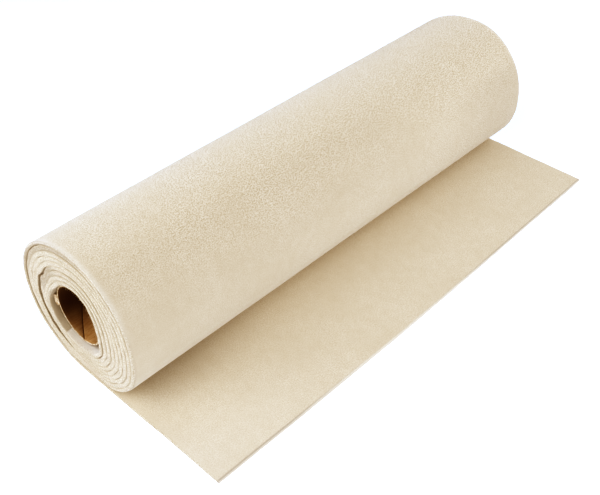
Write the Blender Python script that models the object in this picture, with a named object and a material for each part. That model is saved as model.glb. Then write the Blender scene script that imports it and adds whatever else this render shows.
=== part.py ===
"""A roll of thick craft felt wound loosely on a cardboard core, with its loose end lying flat in front.

Metres, +Z up. The roll lies along X, and its near end faces -X. The loose end reaches toward -Y.
Seen from the near end, with +Y to the left, the felt runs clockwise and inward: it comes in along the
ground, passes under the roll, climbs the +Y side, crosses the top and comes down the -Y side, where
it dives in over its own tail. The wound felt is out of round and stands off in two places, and beside
the core it leaves a crescent open, all the way through.
The origin is the middle of the whole object's footprint.
"""
import math

import bmesh
import bpy
import numpy as np

# The cloth
CLOTH_WIDTH = 0.450
FELT_THICK = 0.0030
SEAT_GAP = 0.0003

# The cardboard core, a little shorter than the cloth is wide, its near end just inside the felt's
CORE_BORE = 0.046
CORE_WALL = 0.0015
CORE_LENGTH = 0.446
CORE_NEAR_END = 0.0021
CORE_SIDES = 64

# The wound form. Y is counted from the line where the tail touches down, until it is all centred.
WINDING_AXIS_Y = 0.0060
WINDING_AXIS_Z = 0.0600
CORE_AXIS_Y = 0.0057
CORE_AXIS_Z = 0.0563
GROUND_LINE = 0.0
OUTLINE_POINTS = 84
MIDDLE_STATIONS = 7
RIM_DEPTH = 0.0030
RIM_INSET = 0.0014
RIM_STEPS = 3

# How far the turns have slid along the roll, toward the near end, at each of the wound form's faces
SLID_HOLLOW = -0.0020
SLID_POCKET = -0.0010
SLID_SLACK_TURN = -0.0002

# All bearings are in degrees about the winding axis, from straight down, turning toward +Y.
# Bearing, and the outline's radius there at the near and far ends
OUTLINE = (
    (0, 0.0605, 0.0605),
    (30, 0.0599, 0.0596),
    (60, 0.0604, 0.0598),
    (90, 0.0596, 0.0600),
    (120, 0.0580, 0.0586),
    (150, 0.0562, 0.0560),
    (180, 0.0570, 0.0563),
    (210, 0.0611, 0.0603),
    (240, 0.0634, 0.0624),
    (270, 0.0638, 0.0637),
    (300, 0.0657, 0.0667),
    (330, 0.0642, 0.0647),
)

# Bearing and radius of the first turn's inner face, which has slumped off the core into an uneven loop
HOLLOW = (
    (0, 0.0286),
    (20, 0.0287),
    (40, 0.0299),
    (60, 0.0306),
    (75, 0.0298),
    (90, 0.0271),
    (102, 0.0243),
    (118, 0.0228),
    (136, 0.0228),
    (155, 0.0246),
    (175, 0.0272),
    (200, 0.0306),
    (220, 0.0316),
    (245, 0.0300),
    (265, 0.0288),
    (285, 0.0298),
    (305, 0.0326),
    (320, 0.0330),
    (340, 0.0298),
)
HOLLOW_POINTS = 64

# Bearing, middle radius and width of the slack pocket between two turns
POCKET = (
    (14, 0.0410, 0.0000),
    (24, 0.0415, 0.0015),
    (33, 0.0422, 0.0025),
    (45, 0.0426, 0.0030),
    (60, 0.0425, 0.0031),
    (70, 0.0422, 0.0035),
    (80, 0.0417, 0.0038),
    (90, 0.0410, 0.0035),
    (100, 0.0399, 0.0029),
    (110, 0.0386, 0.0023),
    (124, 0.0364, 0.0020),
    (136, 0.0375, 0.0017),
    (148, 0.0385, 0.0000),
)
POCKET_POINTS = 20

# Bearing, and how far the outermost turn stands off the one below
SLACK_TURN = (
    (58, 0.0000),
    (72, 0.0012),
    (95, 0.0016),
    (125, 0.0015),
    (150, 0.0010),
    (168, 0.0000),
)
SLACK_POINTS = 14

# The loose end: reach of its cut edge from the ground line, as distance along the roll and reach
CUT_EDGE = (
    (0.000, 0.1350),
    (0.090, 0.1362),
    (0.200, 0.1368),
    (0.330, 0.1352),
    (0.450, 0.1334),
)
SHEET_STATIONS = 16
EDGE_ROUND = 0.0009

# Colours, roughness
FELT_CREAM = (0.78, 0.70, 0.56)
CARDBOARD_BROWN = (0.42, 0.26, 0.13)


def read_smooth(rows, at, column):
    """Reads a table's column at the positions given, on cubics whose slopes come from each row's neighbours."""
    table = np.array(rows, dtype=float)
    place, value = table[:, 0], table[:, column]
    slope = np.gradient(value, place)
    at = np.clip(at, place[0], place[-1])
    row = np.clip(np.searchsorted(place, at, side="right") - 1, 0, len(place) - 2)
    span = place[row + 1] - place[row]
    t = (at - place[row]) / span
    return (
        (2 * t**3 - 3 * t**2 + 1) * value[row]
        + (t**3 - 2 * t**2 + t) * span * slope[row]
        + (3 * t**2 - 2 * t**3) * value[row + 1]
        + (t**3 - t**2) * span * slope[row + 1]
    )


def read_round(rows, at, column):
    """Reads a table that goes once round, repeating it on both sides so that the curve closes smoothly."""
    wrapped = [(row[0] + turn, *row[1:]) for turn in (-360, 0, 360) for row in rows]
    return read_smooth(wrapped, np.mod(at, 360), column)


def at_bearing(bearing, radius, axis_y=WINDING_AXIS_Y, axis_z=WINDING_AXIS_Z):
    """Points in the section, as Y and Z, at bearings in degrees from straight down toward +Y."""
    angle = np.radians(bearing)
    return np.stack([axis_y + radius * np.sin(angle), axis_z - radius * np.cos(angle)], axis=-1)


def outline_radius(bearing, share):
    """The outline's radius at a share of the roll's length, between the near and far ends' tables."""
    return read_round(OUTLINE, bearing, 1) * (1 - share) + read_round(OUTLINE, bearing, 2) * share


def outline(share):
    """The roll's outline at a share of its length: round from the tail's line and back over the tail."""
    start = -math.degrees(math.atan2(WINDING_AXIS_Y - GROUND_LINE, WINDING_AXIS_Z))
    bearing = np.linspace(start, start + 360, OUTLINE_POINTS)
    points = at_bearing(bearing, outline_radius(bearing, share))
    over_tail = bearing > 180
    points[:, 1] = np.maximum(points[:, 1], np.where(over_tail, FELT_THICK + SEAT_GAP, 0.0))
    points[0] = (GROUND_LINE, 0.0)
    points[-1] = (GROUND_LINE, FELT_THICK + SEAT_GAP)
    return points


def hollow():
    """The first turn's inner face, as a closed loop."""
    bearing = np.linspace(0, 360, HOLLOW_POINTS, endpoint=False)
    return at_bearing(bearing, read_round(HOLLOW, bearing, 1))


def slot(bearing, radius, width):
    """A closed slot with pointed tips, out along its far side and back along its near one."""
    far_side = at_bearing(bearing, radius + width / 2)
    near_side = at_bearing(bearing, radius - width / 2)
    return np.concatenate([far_side, near_side[-2:0:-1]])


def pocket():
    """The slack pocket on the +Y side."""
    bearing = np.linspace(POCKET[0][0], POCKET[-1][0], POCKET_POINTS)
    width = np.maximum(read_smooth(POCKET, bearing, 2), 0)
    return slot(bearing, read_smooth(POCKET, bearing, 1), width)


def slack_turn(share):
    """The gap under the outermost turn, which stays one thickness of felt within the rounded rim."""
    bearing = np.linspace(SLACK_TURN[0][0], SLACK_TURN[-1][0], SLACK_POINTS)
    width = np.maximum(read_smooth(SLACK_TURN, bearing, 1), 0)
    surface = outline_radius(bearing, share)
    return slot(bearing, surface - RIM_INSET - FELT_THICK - width / 2, width)


def drawn_in(points, inset):
    """A closed outline with each point moved inward, square to its neighbours, by the inset."""
    along = np.roll(points, -1, axis=0) - np.roll(points, 1, axis=0)
    along /= np.linalg.norm(along, axis=1, keepdims=True)
    inward = np.stack([-along[:, 1], along[:, 0]], axis=-1)
    return points + inward * inset


def rim_stations(length, depth, inset, steps):
    """Places along a rounded-end body with the inset at each: a quarter ellipse at both ends."""
    turn = np.linspace(0, math.pi / 2, steps + 1)
    near = list(zip(depth * (1 - np.cos(turn)), inset * (1 - np.sin(turn))))
    far = [(length - place, drawn) for place, drawn in reversed(near)]
    return near, far


def material(name, colour, roughness):
    """A plain surface in the piece's own colour."""
    made = bpy.data.materials.new(name)
    made.use_nodes = True
    shader = made.node_tree.nodes["Principled BSDF"]
    shader.inputs["Base Color"].default_value = (*colour, 1.0)
    shader.inputs["Roughness"].default_value = roughness
    shader.inputs["Metallic"].default_value = 0.0
    made.diffuse_color = (*colour, 1.0)
    return made


def make_object(name, mesh_builder, surface, shift, sharp_degrees=40):
    """Turns a closed bmesh, its faces turned outward, into a named object, smooth but for its corners."""
    bmesh.ops.recalc_face_normals(mesh_builder, faces=mesh_builder.faces)
    if mesh_builder.calc_volume(signed=True) < 0:
        bmesh.ops.reverse_faces(mesh_builder, faces=mesh_builder.faces)
    mesh = bpy.data.meshes.new(name)
    mesh_builder.to_mesh(mesh)
    mesh_builder.free()
    mesh.shade_smooth()
    mesh.set_sharp_from_angle(angle=math.radians(sharp_degrees))
    mesh.materials.append(surface)
    made = bpy.data.objects.new(name, mesh)
    made.location = shift
    bpy.context.scene.collection.objects.link(made)
    return made


def loft(stations):
    """A solid from sections along X. A station is a list of loops, each with its place; the rest are holes."""
    builder = bmesh.new()
    rings = []
    for loops in stations:
        rings.append([[builder.verts.new((place, y, z)) for y, z in loop] for place, loop in loops])
    for here, beyond in zip(rings, rings[1:]):
        for loop_here, loop_beyond in zip(here, beyond):
            count = len(loop_here)
            for i in range(count):
                j = (i + 1) % count
                builder.faces.new((loop_here[i], loop_here[j], loop_beyond[j], loop_beyond[i]))
    for end in (rings[0], rings[-1]):
        edges = []
        for loop in end:
            edges += [builder.edges.get((loop[i - 1], loop[i])) for i in range(len(loop))]
        bmesh.ops.triangle_fill(builder, use_beauty=True, edges=edges)
    return builder


def wound_felt(surface, shift):
    """The wound form: one solid, rounded at its rims, open round the core and in its two slack places."""
    near, far = rim_stations(CLOTH_WIDTH, RIM_DEPTH, RIM_INSET, RIM_STEPS)
    middle = np.linspace(RIM_DEPTH, CLOTH_WIDTH - RIM_DEPTH, MIDDLE_STATIONS + 2)[1:-1]
    stations = []
    for place, inset in near + [(place, 0.0) for place in middle] + far:
        share = place / CLOTH_WIDTH
        stations.append([
            (place, drawn_in(outline(share), inset)),
            (place + SLID_HOLLOW, hollow()),
            (place + SLID_POCKET, pocket()),
            (place + SLID_SLACK_TURN, slack_turn(share)),
        ])
    return make_object("wound_felt", loft(stations), surface, shift)


def sheet_section(place, inset):
    """The loose end's section: flat below and above, with a rounded cut edge."""
    reach = float(read_smooth(CUT_EDGE, np.array([place]), 1)[0]) - inset
    low, high = inset, FELT_THICK - inset
    corner = EDGE_ROUND
    turn = np.linspace(0, math.pi / 2, 3)
    lower = [(-reach + corner * (1 - math.sin(a)), low + corner * (1 - math.cos(a))) for a in turn]
    upper = [(-reach + corner * (1 - math.cos(a)), high - corner * (1 - math.sin(a))) for a in turn]
    root = GROUND_LINE - SEAT_GAP - inset
    return [(root, low), *lower, *upper, (root, high)]


def loose_end(surface, shift):
    """The tail of the cloth, lying flat from under the roll to its cut edge."""
    near, far = rim_stations(CLOTH_WIDTH, EDGE_ROUND, EDGE_ROUND, RIM_STEPS)
    middle = np.linspace(EDGE_ROUND, CLOTH_WIDTH - EDGE_ROUND, SHEET_STATIONS + 2)[1:-1]
    places = near + [(place, 0.0) for place in middle] + far
    stations = [[(place, sheet_section(place, inset))] for place, inset in places]
    return make_object("loose_end", loft(stations), surface, shift)


def core(surface, shift):
    """The cardboard tube."""
    bearing = np.linspace(0, 360, CORE_SIDES, endpoint=False)
    outer = at_bearing(bearing, CORE_BORE / 2 + CORE_WALL, CORE_AXIS_Y, CORE_AXIS_Z)
    inner = at_bearing(bearing, CORE_BORE / 2, CORE_AXIS_Y, CORE_AXIS_Z)
    ends = (CORE_NEAR_END, CORE_NEAR_END + CORE_LENGTH)
    stations = [[(place, outer), (place, inner)] for place in ends]
    return make_object("core", loft(stations), surface, shift)


def main():
    for old in list(bpy.context.scene.objects):
        bpy.data.objects.remove(old, do_unlink=True)
    widest = max(outline(share)[:, 0].max() for share in (0.0, 0.5, 1.0))
    reach = read_smooth(CUT_EDGE, np.linspace(0, CLOTH_WIDTH, 200), 1).max()
    shift = (-(CLOTH_WIDTH + SLID_HOLLOW) / 2, (reach - widest) / 2, 0.0)
    felt = material("cream_felt", FELT_CREAM, 0.95)
    cardboard = material("brown_cardboard", CARDBOARD_BROWN, 0.80)
    wound_felt(felt, shift)
    loose_end(felt, shift)
    core(cardboard, shift)


main()
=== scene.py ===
"""The looks of a roll of thick needled craft felt, wound loosely on a cardboard core, its loose end lying flat.

The cloth is one closed sheet, 450 mm wide. It is worked out in its own section, in metres: Y counts from the
line where the loose end touches down, Z from the surface it lies on. Bearings are in degrees about the
winding axis, from straight down, turning toward +Y, and they keep growing inward, 360 for each turn.
"""
import math
from types import SimpleNamespace

import bpy
import numpy as np
from mathutils import Matrix, Vector


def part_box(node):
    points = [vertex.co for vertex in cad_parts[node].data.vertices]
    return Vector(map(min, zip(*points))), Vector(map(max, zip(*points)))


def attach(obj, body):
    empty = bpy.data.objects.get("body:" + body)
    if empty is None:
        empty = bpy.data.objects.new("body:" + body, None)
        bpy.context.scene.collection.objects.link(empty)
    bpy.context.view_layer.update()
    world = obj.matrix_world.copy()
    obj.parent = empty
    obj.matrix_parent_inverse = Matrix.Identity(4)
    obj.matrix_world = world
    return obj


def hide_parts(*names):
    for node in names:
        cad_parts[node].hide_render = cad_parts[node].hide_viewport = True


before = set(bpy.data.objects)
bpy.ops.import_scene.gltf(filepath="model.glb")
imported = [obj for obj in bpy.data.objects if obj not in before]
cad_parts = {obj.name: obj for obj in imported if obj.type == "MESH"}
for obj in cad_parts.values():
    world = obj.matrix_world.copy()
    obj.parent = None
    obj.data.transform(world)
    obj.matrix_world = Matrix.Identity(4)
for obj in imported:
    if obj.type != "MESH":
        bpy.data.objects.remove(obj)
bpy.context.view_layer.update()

# The cloth, as in the part's source
CLOTH_WIDTH = 0.450
FELT_THICK = 0.0030
SEAT_GAP = 0.0003
WINDING_AXIS_Y = 0.0060
WINDING_AXIS_Z = 0.0600

# Bearing, and the outline's radius there at the near and far ends
OUTLINE = (
    (0, 0.0605, 0.0605),
    (30, 0.0599, 0.0596),
    (60, 0.0604, 0.0598),
    (90, 0.0596, 0.0600),
    (120, 0.0580, 0.0586),
    (150, 0.0562, 0.0560),
    (180, 0.0570, 0.0563),
    (210, 0.0611, 0.0603),
    (240, 0.0634, 0.0624),
    (270, 0.0638, 0.0637),
    (300, 0.0657, 0.0667),
    (330, 0.0642, 0.0647),
)

# Bearing, and the radius of the last whole turn's inner face, slumped off the core into an uneven loop
HOLLOW = (
    (0, 0.0319),
    (15, 0.0317),
    (30, 0.0315),
    (45, 0.0315),
    (60, 0.0307),
    (75, 0.0296),
    (90, 0.0270),
    (102, 0.0242),
    (118, 0.0228),
    (136, 0.0220),
    (155, 0.0232),
    (175, 0.0255),
    (200, 0.0288),
    (220, 0.0299),
    (245, 0.0284),
    (265, 0.0272),
    (285, 0.0282),
    (305, 0.0312),
    (320, 0.0322),
    (340, 0.0318),
)

# Where the turns stand apart: after which turn, from the outermost, and the gap there by bearing
SLACK_AFTER = 0
SLACK = (
    (10, 0.0000),
    (28, 0.0005),
    (50, 0.0007),
    (75, 0.0008),
    (95, 0.0007),
    (112, 0.0005),
    (128, 0.0003),
    (145, 0.0001),
    (160, 0.0000),
)
POCKET_AFTER = 4
POCKET = (
    (12, 0.0000),
    (25, 0.0013),
    (40, 0.0020),
    (60, 0.0019),
    (75, 0.0017),
    (90, 0.0015),
    (98, 0.0012),
    (106, 0.0017),
    (114, 0.0012),
    (123, 0.0011),
    (131, 0.0007),
    (138, 0.0000),
)
LAST_GAP_AFTER = 7
LAST_GAP = (
    (245, 0.0000),
    (275, 0.0002),
    (300, 0.0004),
    (325, 0.0004),
    (345, 0.0003),
    (359, 0.0000),
)

# Where the turns by the pocket are bent in: bearing, and how far out they lie, most in turns 4 and 5
KINK = (
    (94, 0.0000),
    (101, 0.0005),
    (108, 0.0006),
    (114, -0.0014),
    (120, -0.0017),
    (129, -0.0010),
    (140, 0.0000),
)

# How much each turn shares in the kink: not at all in the outermost and innermost
KINKED_TURNS = ((1, 0), (4, 1), (5, 1), (8, 0))

# The winding: nine whole turns, and the inner end lying under the core, 29 degrees past straight down. Each
# turn fills nearly all its spacing, and steps inward over the last part of its round
TURNS = 9
CLOTH_ENDS_AT = TURNS * 360 + 29
FULLNESS = 0.985
STEP_FROM = 320

# How roundly the outline meets the ground, and how near to straight down it can touch, as a cosine
GROUND_BLEND = 0.0008
CAN_TOUCH = 0.5

# The turns have slid along the roll: a turn's number from the outermost, and how far its edge stands toward the
# near end at each of these bearings
SLID_BEARINGS = (0, 45, 90, 150, 240, 330)
SLID = (
    (0, 0.0009, 0.0015, 0.0013, 0.0001, 0.0000, 0.0003),
    (1, 0.0006, 0.0009, 0.0006, -0.0005, 0.0000, 0.0003),
    (2, 0.0009, 0.0013, 0.0010, 0.0004, 0.0002, 0.0004),
    (3, 0.0010, 0.0015, 0.0013, 0.0006, 0.0003, 0.0005),
    (4, 0.0011, 0.0016, 0.0014, 0.0008, 0.0005, 0.0006),
    (5, 0.0011, 0.0009, 0.0004, 0.0002, 0.0005, 0.0008),
    (6, 0.0013, 0.0014, 0.0013, 0.0011, 0.0009, 0.0012),
    (7, 0.0015, 0.0018, 0.0018, 0.0016, 0.0014, 0.0015),
    (8, 0.0017, 0.0020, 0.0020, 0.0020, 0.0020, 0.0020),
    (9, 0.0026, 0.0026, 0.0020, 0.0015, 0.0015, 0.0015),
)

# How deep the cut edge is rounded: angle along the spiral, and depth at the turn's outer and inner side
ROUNDED = (
    (-10, 0.0014, 0.0012),
    (60, 0.0016, 0.0008),
    (120, 0.0012, 0.0014),
    (150, 0.0010, 0.0026),
    (220, 0.0012, 0.0026),
    (260, 0.0020, 0.0012),
    (345, 0.0022, 0.0008),
    (375, 0.0006, 0.0006),
    (2850, 0.0006, 0.0006),
    (3140, 0.0007, 0.0008),
    (3180, 0.0006, 0.0028),
    (3220, 0.0006, 0.0034),
    (3269, 0.0006, 0.0030),
)

# The loose end: distance along the roll, and reach of its cut edge from the ground line
CUT_EDGE = (
    (0.000, 0.1359),
    (0.090, 0.1371),
    (0.200, 0.1377),
    (0.330, 0.1361),
    (0.450, 0.1343),
)

# The core
CORE_BORE = 0.046
CORE_WALL = 0.0015
CORE_LENGTH = 0.446
CORE_NEAR_END = 0.0021
CORE_AXIS_Y = 0.0057
CORE_AXIS_Z = 0.0563

# From X counted from the near end, and the section's own Y, to the frame: the loose end's box gives both
SHIFT_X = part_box("loose_end")[0].x
SHIFT_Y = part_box("loose_end")[1].y + SEAT_GAP

# The camera, at the photograph's viewing angle
PHOTO_WIDTH = 600
FOCAL_PIXELS = 904.57
SENSOR_MM = 36.0
CAMERA_AT = (-0.20953, -0.41484, 0.50091)
CAMERA_DOWN = 40.823
CAMERA_TURN = 44.136
CAMERA_ROLL = -0.566


# Tables

def read_smooth(rows, at, column):
    """Reads a table's column at the positions given, on cubics whose slopes come from each row's neighbours."""
    table = np.array(rows, dtype=float)
    place, value = table[:, 0], table[:, column]
    slope = np.gradient(value, place)
    at = np.clip(at, place[0], place[-1])
    row = np.clip(np.searchsorted(place, at, side="right") - 1, 0, len(place) - 2)
    span = place[row + 1] - place[row]
    t = (at - place[row]) / span
    return (
        (2 * t**3 - 3 * t**2 + 1) * value[row]
        + (t**3 - 2 * t**2 + t) * span * slope[row]
        + (3 * t**2 - 2 * t**3) * value[row + 1]
        + (t**3 - t**2) * span * slope[row + 1]
    )


def read_round(rows, at, column):
    """Reads a table that goes once round, repeating it on both sides so that the curve closes smoothly."""
    wrapped = [(row[0] + turn, *row[1:]) for turn in (-360, 0, 360) for row in rows]
    return read_smooth(wrapped, np.mod(at, 360), column)


def ease(low, high, at):
    """0 before low, 1 after high, and a smooth step between."""
    t = np.clip((at - low) / (high - low), 0, 1)
    return t * t * (3 - 2 * t)


def band(span, at):
    """0 up to the span's first value, 1 between its middle two, 0 from its last, and smooth steps between."""
    return ease(*span[:2], at) * (1 - ease(*span[2:], at))


def soft_max(a, b, reach):
    """The larger of two values, rounded over where they meet."""
    return (a + b + np.sqrt((a - b) ** 2 + reach**2)) / 2


def ripple(at, across, wavelength, seed):
    """Smooth uneven waves over two distances: the mean of six sines of about one wavelength, each with a
    direction and a phase of its own, drawn from the seed.
    """
    random = np.random.default_rng(seed)
    total = 0
    for angle, phase, stretch in zip(
        random.uniform(0, math.pi, 6), random.uniform(0, 2 * math.pi, 6), random.uniform(0.7, 1.5, 6)
    ):
        along = at * math.cos(angle) + across * math.sin(angle)
        total = total + np.sin(2 * math.pi * along / (wavelength * stretch) + phase)
    return total / 6


def waves(at, across, rows):
    """The sum of several ripples, each given by its depth, wavelength and seed."""
    return sum(depth * ripple(at, across, wavelength, seed) for depth, wavelength, seed in rows)


# The winding

def outline_radius(bearing, share):
    """The outline's radius, between its tables for the two ends, and kept above the ground and the tail."""
    free = read_round(OUTLINE, bearing, 1) * (1 - share) + read_round(OUTLINE, bearing, 2) * share
    down = np.cos(np.radians(bearing))
    floor = np.where(np.asarray(bearing) > 180, FELT_THICK + SEAT_GAP, 0.0)
    height = soft_max(WINDING_AXIS_Z - free * down, floor, GROUND_BLEND)
    return np.where(down > CAN_TOUCH, (WINDING_AXIS_Z - height) / np.maximum(down, CAN_TOUCH), free)


def gap_before(turn, bearing):
    """How far the turns outside this one stand apart in all, at a bearing."""
    total = 0
    for after, table in ((SLACK_AFTER, SLACK), (POCKET_AFTER, POCKET), (LAST_GAP_AFTER, LAST_GAP)):
        total = total + np.where(turn > after, np.maximum(read_smooth(table, bearing, 1), 0), 0)
    return total


def kink(turn, bearing):
    """How far out a turn is bent by the pocket, at a bearing."""
    return np.interp(bearing, *np.array(KINK).T) * np.interp(turn, *np.array(KINKED_TURNS).T)


def turn_spacing(bearing, share):
    """The distance between turns: what the wall holds between its outline and its hollow, shared out evenly."""
    wall = outline_radius(bearing, share) - read_round(HOLLOW, bearing, 1)
    return (wall - gap_before(TURNS - 1, bearing) - FELT_THICK) / (TURNS - 1)


def turn_radius(turn, bearing, share):
    """The cloth's middle radius in a turn: the outline's, less half a thickness, a spacing for each turn
    outside it and the gaps there, plus its kink.
    """
    straight = outline_radius(bearing, share) - FELT_THICK / 2 - turn * turn_spacing(bearing, share)
    return straight - gap_before(turn, bearing) + kink(turn, bearing)


def wound_radius(angle, share):
    """The middle radius all along the spiral, each turn eased from STEP_FROM on onto the next one's start."""
    turn = np.maximum(np.floor(angle / 360), 0)
    bearing = angle - 360 * turn
    here = turn_radius(turn, bearing, share)
    step = turn_radius(turn + 1, 0.0, share) - turn_radius(turn, 360.0, share)
    return here + step * ease(STEP_FROM, 360, bearing)


def slid_by(angle):
    """How far the cloth stands toward the near end, along the spiral: the table's rows laid end to end."""
    rows = [(360 * row[0] + bearing, slid) for row in SLID for bearing, slid in zip(SLID_BEARINGS, row[1:])]
    return read_smooth(rows, angle, 1)


# Pieces

def make_piece(name, points, faces, surface):
    """A mesh piece in the frame, shaded smooth, riding on the root."""
    mesh = bpy.data.meshes.new(name)
    mesh.from_pydata(points.reshape(-1, 3).tolist(), [], faces)
    mesh.shade_smooth()
    mesh.materials.append(surface)
    piece = bpy.data.objects.new(name, mesh)
    bpy.context.scene.collection.objects.link(piece)
    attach(piece, "root")
    return piece


def grid_faces(rows, columns, closed_rows=False, closed_columns=False):
    """Quads between the neighbours of a grid of points, joined end to end where it is closed."""
    row = np.arange(rows if closed_rows else rows - 1)[:, None]
    column = np.arange(columns if closed_columns else columns - 1)[None, :]
    next_row, next_column = (row + 1) % rows, (column + 1) % columns
    corners = (
        row * columns + column,
        row * columns + next_column,
        next_row * columns + next_column,
        next_row * columns + column,
    )
    return np.stack([np.broadcast_to(c, (row.size, column.size)) for c in corners], axis=-1).reshape(-1, 4)


def add_uv(piece, name, u, v):
    """Gives each corner of the mesh its vertex's place on the cloth, in metres."""
    layer = piece.data.uv_layers.new(name=name)
    corner = np.empty(len(piece.data.loops), dtype=np.int32)
    piece.data.loops.foreach_get("vertex_index", corner)
    layer.data.foreach_set("uv", np.stack([u[corner], v[corner]], axis=-1).astype(np.float32).ravel())


def add_value(piece, name, values):
    """Gives each vertex one number that a material can read."""
    layer = piece.data.attributes.new(name, "FLOAT", "POINT")
    layer.data.foreach_set("value", values.astype(np.float32).ravel())


# The felt

# The cloth's grid: stations along it, closest at its cut end, and rows across it, closest at its edges
TAIL_STATIONS = 44
FIRST_STATIONS = (0.0, 0.0002, 0.0006, 0.0012, 0.0020, 0.0032)
DEGREES_PER_STATION = 2.0
ROWS_FROM_EDGE = (0.0, 0.0012, 0.003, 0.006, 0.011, 0.020, 0.038, 0.065, 0.100, 0.140, 0.185)
ROWS_ACROSS = 2 * len(ROWS_FROM_EDGE)
EDGE_POINTS = 6

# How the edges are rounded: the power of their ellipse, and their depth where the table ROUNDED doesn't say
EDGE_SQUARENESS = 2.0
FAR_ROUNDED = 0.0010
CUT_END_ROUNDED, INNER_END_ROUNDED = 0.0013, 0.0035

# How wide a rounded edge is when it is laid flat for the felt's pattern
EDGE_UV_WIDTH = 0.001

# The angles over which the cloth comes to fill its spacing, and the part of the tail over which it starts to
# slide along the roll
FILLS_SPACING = (60, 330)
SLIDES = (0.3, 1.0)

# Unevenness, each wave as its depth, wavelength and seed: of the cut edge's line, the thickness, the sides, the
# outer turn's faces, and the rims of the turns
CUT_LINE_WAVES = ((0.0004, 0.045, 11),)
FULLNESS_WAVES = ((0.025, 0.05, 21),)
SIDE_WAVES = ((0.00025, 0.060, 3), (0.00025, 0.0085, 4))
FACE_WAVES = ((0.00022, 0.070, 5), (0.00008, 0.022, 6))
FACE_WAVES_END = 400
RIM_WAVES = ((0.00050, 0.015, 31), (0.00022, 0.0065, 32))
RIM_WAVES_GROW = (200, 400)
RIM_SHARE = 0.02  # of the width, over which a rim's waves die away

# What follows says where the cloth is darker, paler or rougher. A pair is where a smooth step starts and ends,
# and a row of four is a band: where it starts, is full, starts to fade and has gone. They are angles along the
# spiral, bearings, or distances in metres

# Light between the turns: what reaches two faces that touch, what reaches them where they part, and the gap
# that parts them fully; and where the next turn covers the outer face and the inner face
TOUCHING_LIGHT, PARTED_LIGHT, OPEN_GAP = 0.9, 0.35, 0.0018
OUTER_FACE_COVERED = (350, 385)
INNER_FACE_COVERED = (-3, 14, 2840, 2880)
COVERED_OFF_THE_EDGE = (0.0, 0.5)

# The crescent of shade in the hollow beside the core: lightest at its first part and at the cut edge
CRESCENT_SHADE, CRESCENT = 0.80, (2905, 2955, 2988, 3008)
CRESCENT_FIRST, CRESCENT_DEEPENS = 0.76, (2950, 2985)
CRESCENT_AT_EDGE, CRESCENT_REACHES_IN = 0.15, (-0.001, 0.008)

# Painted shade on the cut edges, which there read tan: high up on the outer turns, less on the outermost, and
# by the pocket on turns 5 and 6, with the outermost as 0
TAN_SHADE, TAN_BEARINGS, TAN_ENDS = 0.22, (80, 120, 185, 215), 800
OUTERMOST_TAN, OUTERMOST_ENDS, OUTER_SIDE = 0.2, 300, 0.2
POCKET_SHADE, POCKET_BEARINGS, POCKET_TURNS = 0.26, (86, 100, 140, 165), (5, 6)
CUT_FACE = (0.2, 0.8)

# Painted shade: the thin dark line under the loose end's cut edge, missing where it lies closest to the ground
UNDER_SHADE, UNDER_SIDE, UNDER_LINE = 0.25, (-0.2, 0.4), (0.0001, 0.0005, 0.0010, 0.0022)
LIES_CLOSE = (0.07, 0.12, 0.25, 0.29)

# The wedge of shade on the loose end by the roll's near foot: by reach from the foot, and along the roll
WEDGE_SHADE, WEDGE_REACH, WEDGE_LENGTH = 0.26, (0.035, 0.075), (0.0, 0.02, 0.03, 0.14)

# Painted shade on the roll: on its low side, most near the near end, low at the far end, and on its middle band
LOW_SHADE, LOW_ANGLES, LOW_FADED, LOW_FADES = 0.05, (240, 290), 0.8, (0.06, 0.20)
LOW_FAR_SHADE, LOW_FAR_ANGLES, LOW_FAR_LENGTH = 0.10, (230, 250), (0.33, 0.43)
BAND_SHADE, BAND_ANGLES, BAND_FADES = 0.045, (200, 222, 250, 275), (0.24, 0.34)
SHADE_ENDS = (350, 360)

# Painted shade: the dark sliver between the core and the inner end's face
SLIVER_SHADE, SLIVER_ANGLES, SLIVER_DEPTH = 0.9, (3192, 3204, 3226, 3238), (0.0022, 0.0045)

# Paler places: a painted highlight on the outer rim, painted light on the inner end's lip, loose fibre ends
# on the loose end's cut, and painted light on its near corner
RIM_PAINTED_HIGHLIGHT, RIM_WIDTH, RIM_FADES = 0.4, (0.0, 0.0025), (225, 270)
LIP_WIDTH, LIP_ANGLES, LIP_AT_EDGE = 0.004, (3130, 3180), 0.4
CUT_TEASED, CUT_WIDTH = 0.6, (0.0003, 0.0016)
CORNER_PAINTED_LIGHT, CORNER_LIGHT_LENGTH, CORNER_LIGHT_REACH = 0.20, (0.0, 0.15), (0.06, 0.12)

# How far fibres stand up: on the roll's crown, where it was pressed flat, on the reverse and on the cut edges;
# and what is gained along the roll, first over its near half and then over its far half
FACE_NAP, PRESSED_NAP, REVERSE_NAP, CUT_NAP = 1.50, 0.44, 0.42, 1.0
PRESSED = (195, 258)
NEAR_HALF, FAR_HALF = (0.0, 0.22), (0.22, 0.45)
NAP_AT_NEAR_END, NAP_GAINED_NEAR, NAP_GAINED_FAR = 0.42, 0.58, 0.40
TAIL_NAP, TAIL_NAP_GAINED = 0.80, 0.35
NAP_AT_RIM, NAP_RIM_WIDTH = 0.55, (0.001, 0.009)


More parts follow.
